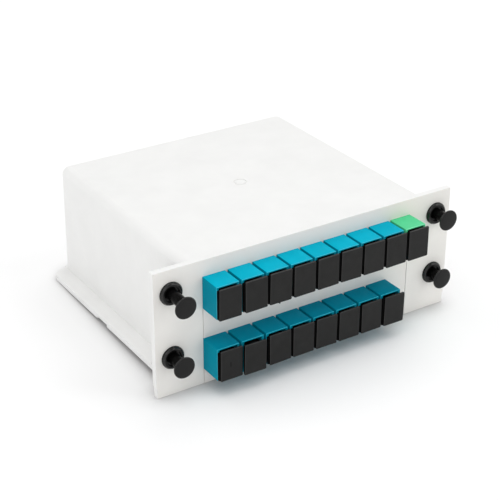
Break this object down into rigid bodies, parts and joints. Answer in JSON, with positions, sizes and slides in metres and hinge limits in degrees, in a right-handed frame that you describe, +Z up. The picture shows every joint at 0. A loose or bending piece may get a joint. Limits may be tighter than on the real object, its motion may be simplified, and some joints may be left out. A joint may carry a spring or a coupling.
{
  "type": "plc fibre splitter cassette",
  "caption": "Plug-in optical splitter cassette: boxed housing with guide rails, a front panel with two rows of capped SC adapters and push-pull latches at its ears.",
  "frame": {"origin": "middle of the underside of the assembly's box, level with the front panel's bottom edge", "axes": "+X to the right along the front panel, +Y from the panel back into the shelf, +Z up"},
  "size_m": [0.13, 0.1112, 0.05],
  "materials": {
    "housing_plastic": "fine satin off-white ABS",
    "teal_plastic": "satin teal-blue",
    "green_plastic": "satin green",
    "cap_black": "matt black",
    "latch_black": "satin black nylon",
    "holder_plastic": "natural",
    "zirconia": "polished ceramic",
    "connector_blue": "satin blue",
    "boot_plastic": "matt white",
    "lead_jacket": "translucent white tube",
    "ribbon": "satin",
    "fanout_plastic": "matt black",
    "module_steel": "plain steel"
  },
  "bodies": {
    "housing": {"adapter_input": "green_plastic", "adapter_output_01": "teal_plastic", "adapter_output_02": "teal_plastic", "adapter_output_03": "teal_plastic", "adapter_output_04": "teal_plastic", "adapter_output_05": "teal_plastic", "adapter_output_06": "teal_plastic", "adapter_output_07": "teal_plastic", "adapter_output_08": "teal_plastic", "adapter_output_09": "teal_plastic", "adapter_output_10": "teal_plastic", "adapter_output_11": "teal_plastic", "adapter_output_12": "teal_plastic", "adapter_output_13": "teal_plastic", "adapter_output_14": "teal_plastic", "adapter_output_15": "teal_plastic", "adapter_output_16": "teal_plastic", "adapter_plate": "housing_plastic", "adapter_retainer": "housing_plastic", "alignment_sleeves": "zirconia", "bottom_cover": "housing_plastic", "connector_boots": "boot_plastic", "fanout_block": "fanout_plastic", "fanout_cradle": "housing_plastic", "input_connector": "green_plastic", "input_lead": "lead_jacket", "latch_grommets": "latch_black", "output_connectors": "connector_blue", "output_leads": "lead_jacket", "ribbons": "ribbon", "sleeve_holders": "holder_plastic", "splitter_module": "module_steel", "upper_shell": "housing_plastic"},
    "latch_plunger_lower_left": {"latch_plunger_lower_left": "latch_black"},
    "latch_plunger_lower_right": {"latch_plunger_lower_right": "latch_black"},
    "latch_plunger_upper_left": {"latch_plunger_upper_left": "latch_black"},
    "latch_plunger_upper_right": {"latch_plunger_upper_right": "latch_black"},
    "dust_cap_output_01": {"dust_cap_output_01": "cap_black"},
    "dust_cap_output_02": {"dust_cap_output_02": "cap_black"},
    "dust_cap_output_03": {"dust_cap_output_03": "cap_black"},
    "dust_cap_output_04": {"dust_cap_output_04": "cap_black"},
    "dust_cap_output_05": {"dust_cap_output_05": "cap_black"},
    "dust_cap_output_06": {"dust_cap_output_06": "cap_black"},
    "dust_cap_output_07": {"dust_cap_output_07": "cap_black"},
    "dust_cap_output_08": {"dust_cap_output_08": "cap_black"},
    "dust_cap_input": {"dust_cap_input": "cap_black"},
    "dust_cap_output_09": {"dust_cap_output_09": "cap_black"},
    "dust_cap_output_10": {"dust_cap_output_10": "cap_black"},
    "dust_cap_output_11": {"dust_cap_output_11": "cap_black"},
    "dust_cap_output_12": {"dust_cap_output_12": "cap_black"},
    "dust_cap_output_13": {"dust_cap_output_13": "cap_black"},
    "dust_cap_output_14": {"dust_cap_output_14": "cap_black"},
    "dust_cap_output_15": {"dust_cap_output_15": "cap_black"},
    "dust_cap_output_16": {"dust_cap_output_16": "cap_black"}
  },
  "joints": [
    {"name": "push_lower_left", "type": "slide", "parent": "housing", "child": "latch_plunger_lower_left", "axis": [0, 1, 0], "range_m": [-0.0032, 0.0026]},
    {"name": "push_lower_right", "type": "slide", "parent": "housing", "child": "latch_plunger_lower_right", "axis": [0, 1, 0], "range_m": [-0.0048, 0.001]},
    {"name": "push_upper_left", "type": "slide", "parent": "housing", "child": "latch_plunger_upper_left", "axis": [0, 1, 0], "range_m": [-0.0005, 0.0053]},
    {"name": "push_upper_right", "type": "slide", "parent": "housing", "child": "latch_plunger_upper_right", "axis": [0, 1, 0], "range_m": [-0.0038, 0.002]},
    {"name": "pull_cap_output_01", "type": "slide", "parent": "housing", "child": "dust_cap_output_01", "axis": [0, -1, 0], "range_m": [0, 0.012]},
    {"name": "pull_cap_output_02", "type": "slide", "parent": "housing", "child": "dust_cap_output_02", "axis": [0, -1, 0], "range_m": [0, 0.012]},
    {"name": "pull_cap_output_03", "type": "slide", "parent": "housing", "child": "dust_cap_output_03", "axis": [0, -1, 0], "range_m": [0, 0.012]},
    {"name": "pull_cap_output_04", "type": "slide", "parent": "housing", "child": "dust_cap_output_04", "axis": [0, -1, 0], "range_m": [0, 0.012]},
    {"name": "pull_cap_output_05", "type": "slide", "parent": "housing", "child": "dust_cap_output_05", "axis": [0, -1, 0], "range_m": [0, 0.012]},
    {"name": "pull_cap_output_06", "type": "slide", "parent": "housing", "child": "dust_cap_output_06", "axis": [0, -1, 0], "range_m": [0, 0.012]},
    {"name": "pull_cap_output_07", "type": "slide", "parent": "housing", "child": "dust_cap_output_07", "axis": [0, -1, 0], "range_m": [0, 0.012]},
    {"name": "pull_cap_output_08", "type": "slide", "parent": "housing", "child": "dust_cap_output_08", "axis": [0, -1, 0], "range_m": [0, 0.012]},
    {"name": "pull_cap_input", "type": "slide", "parent": "housing", "child": "dust_cap_input", "axis": [0, -1, 0], "range_m": [0, 0.012]},
    {"name": "pull_cap_output_09", "type": "slide", "parent": "housing", "child": "dust_cap_output_09", "axis": [0, -1, 0], "range_m": [0, 0.012]},
    {"name": "pull_cap_output_10", "type": "slide", "parent": "housing", "child": "dust_cap_output_10", "axis": [0, -1, 0], "range_m": [-0.0008, 0.012]},
    {"name": "pull_cap_output_11", "type": "slide", "parent": "housing", "child": "dust_cap_output_11", "axis": [0, -1, 0], "range_m": [0, 0.012]},
    {"name": "pull_cap_output_12", "type": "slide", "parent": "housing", "child": "dust_cap_output_12", "axis": [0, -1, 0], "range_m": [0, 0.012]},
    {"name": "pull_cap_output_13", "type": "slide", "parent": "housing", "child": "dust_cap_output_13", "axis": [0, -1, 0], "range_m": [0, 0.012]},
    {"name": "pull_cap_output_14", "type": "slide", "parent": "housing", "child": "dust_cap_output_14", "axis": [0, -1, 0], "range_m": [0, 0.012]},
    {"name": "pull_cap_output_15", "type": "slide", "parent": "housing", "child": "dust_cap_output_15", "axis": [0, -1, 0], "range_m": [0, 0.012]},
    {"name": "pull_cap_output_16", "type": "slide", "parent": "housing", "child": "dust_cap_output_16", "axis": [0, -1, 0], "range_m": [-0.0003, 0.012]}
  ]
}
